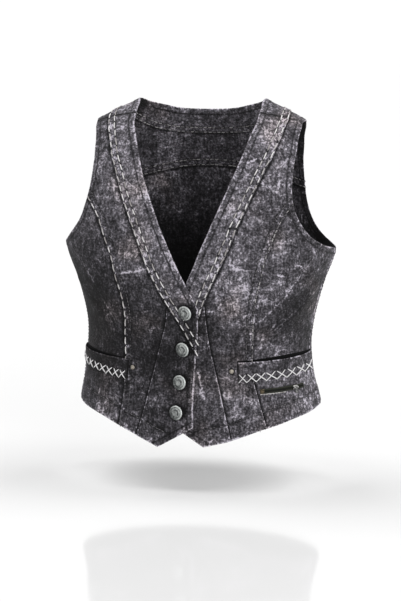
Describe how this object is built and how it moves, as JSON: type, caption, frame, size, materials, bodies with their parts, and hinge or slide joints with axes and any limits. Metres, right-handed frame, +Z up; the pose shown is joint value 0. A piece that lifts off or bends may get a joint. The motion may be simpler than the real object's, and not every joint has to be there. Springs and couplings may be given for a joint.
{
  "type": "denim vest",
  "caption": "Sleeveless cropped denim vest with a V neck band, buttoned pointed front, stitched pocket welts and a short zip, in hollow worn form.",
  "frame": {"origin": "midway between the shoulders, half way down the shoulder slope, where a wearer holds the vest up", "axes": "+Z up, the front faces -Y, the wearer's left is +X"},
  "size_m": [0.3776, 0.2099, 0.4671],
  "materials": {
    "denim": "washed black denim twill, mottled grey",
    "zip_cloth": "black woven tape",
    "aged_metal": "dull aged nickel"
  },
  "bodies": {
    "vest": {"front_edge_right": "denim", "front_edge_left": "denim", "front_right": "denim", "front_left": "denim", "side_front_right": "denim", "side_front_left": "denim", "band_right": "denim", "band_left": "denim", "band_back": "denim", "yoke": "denim", "back": "denim", "welt_right": "denim", "welt_left": "denim", "zip_tape": "zip_cloth", "zip_slider": "aged_metal", "button_1": "aged_metal", "button_2": "aged_metal", "button_3": "aged_metal", "button_4": "aged_metal", "rivet_right": "aged_metal", "rivet_left": "aged_metal"},
    "pull_tab": {"zip_pull_tab": "aged_metal"}
  },
  "joints": [
    {"name": "pull_tab_swing", "type": "hinge", "parent": "vest", "child": "pull_tab", "pos_m": [0.14358, -0.05538, -0.37304], "axis": [-0.6913, -0.7215, -0.038], "range_deg": [-20, 150]}
  ]
}
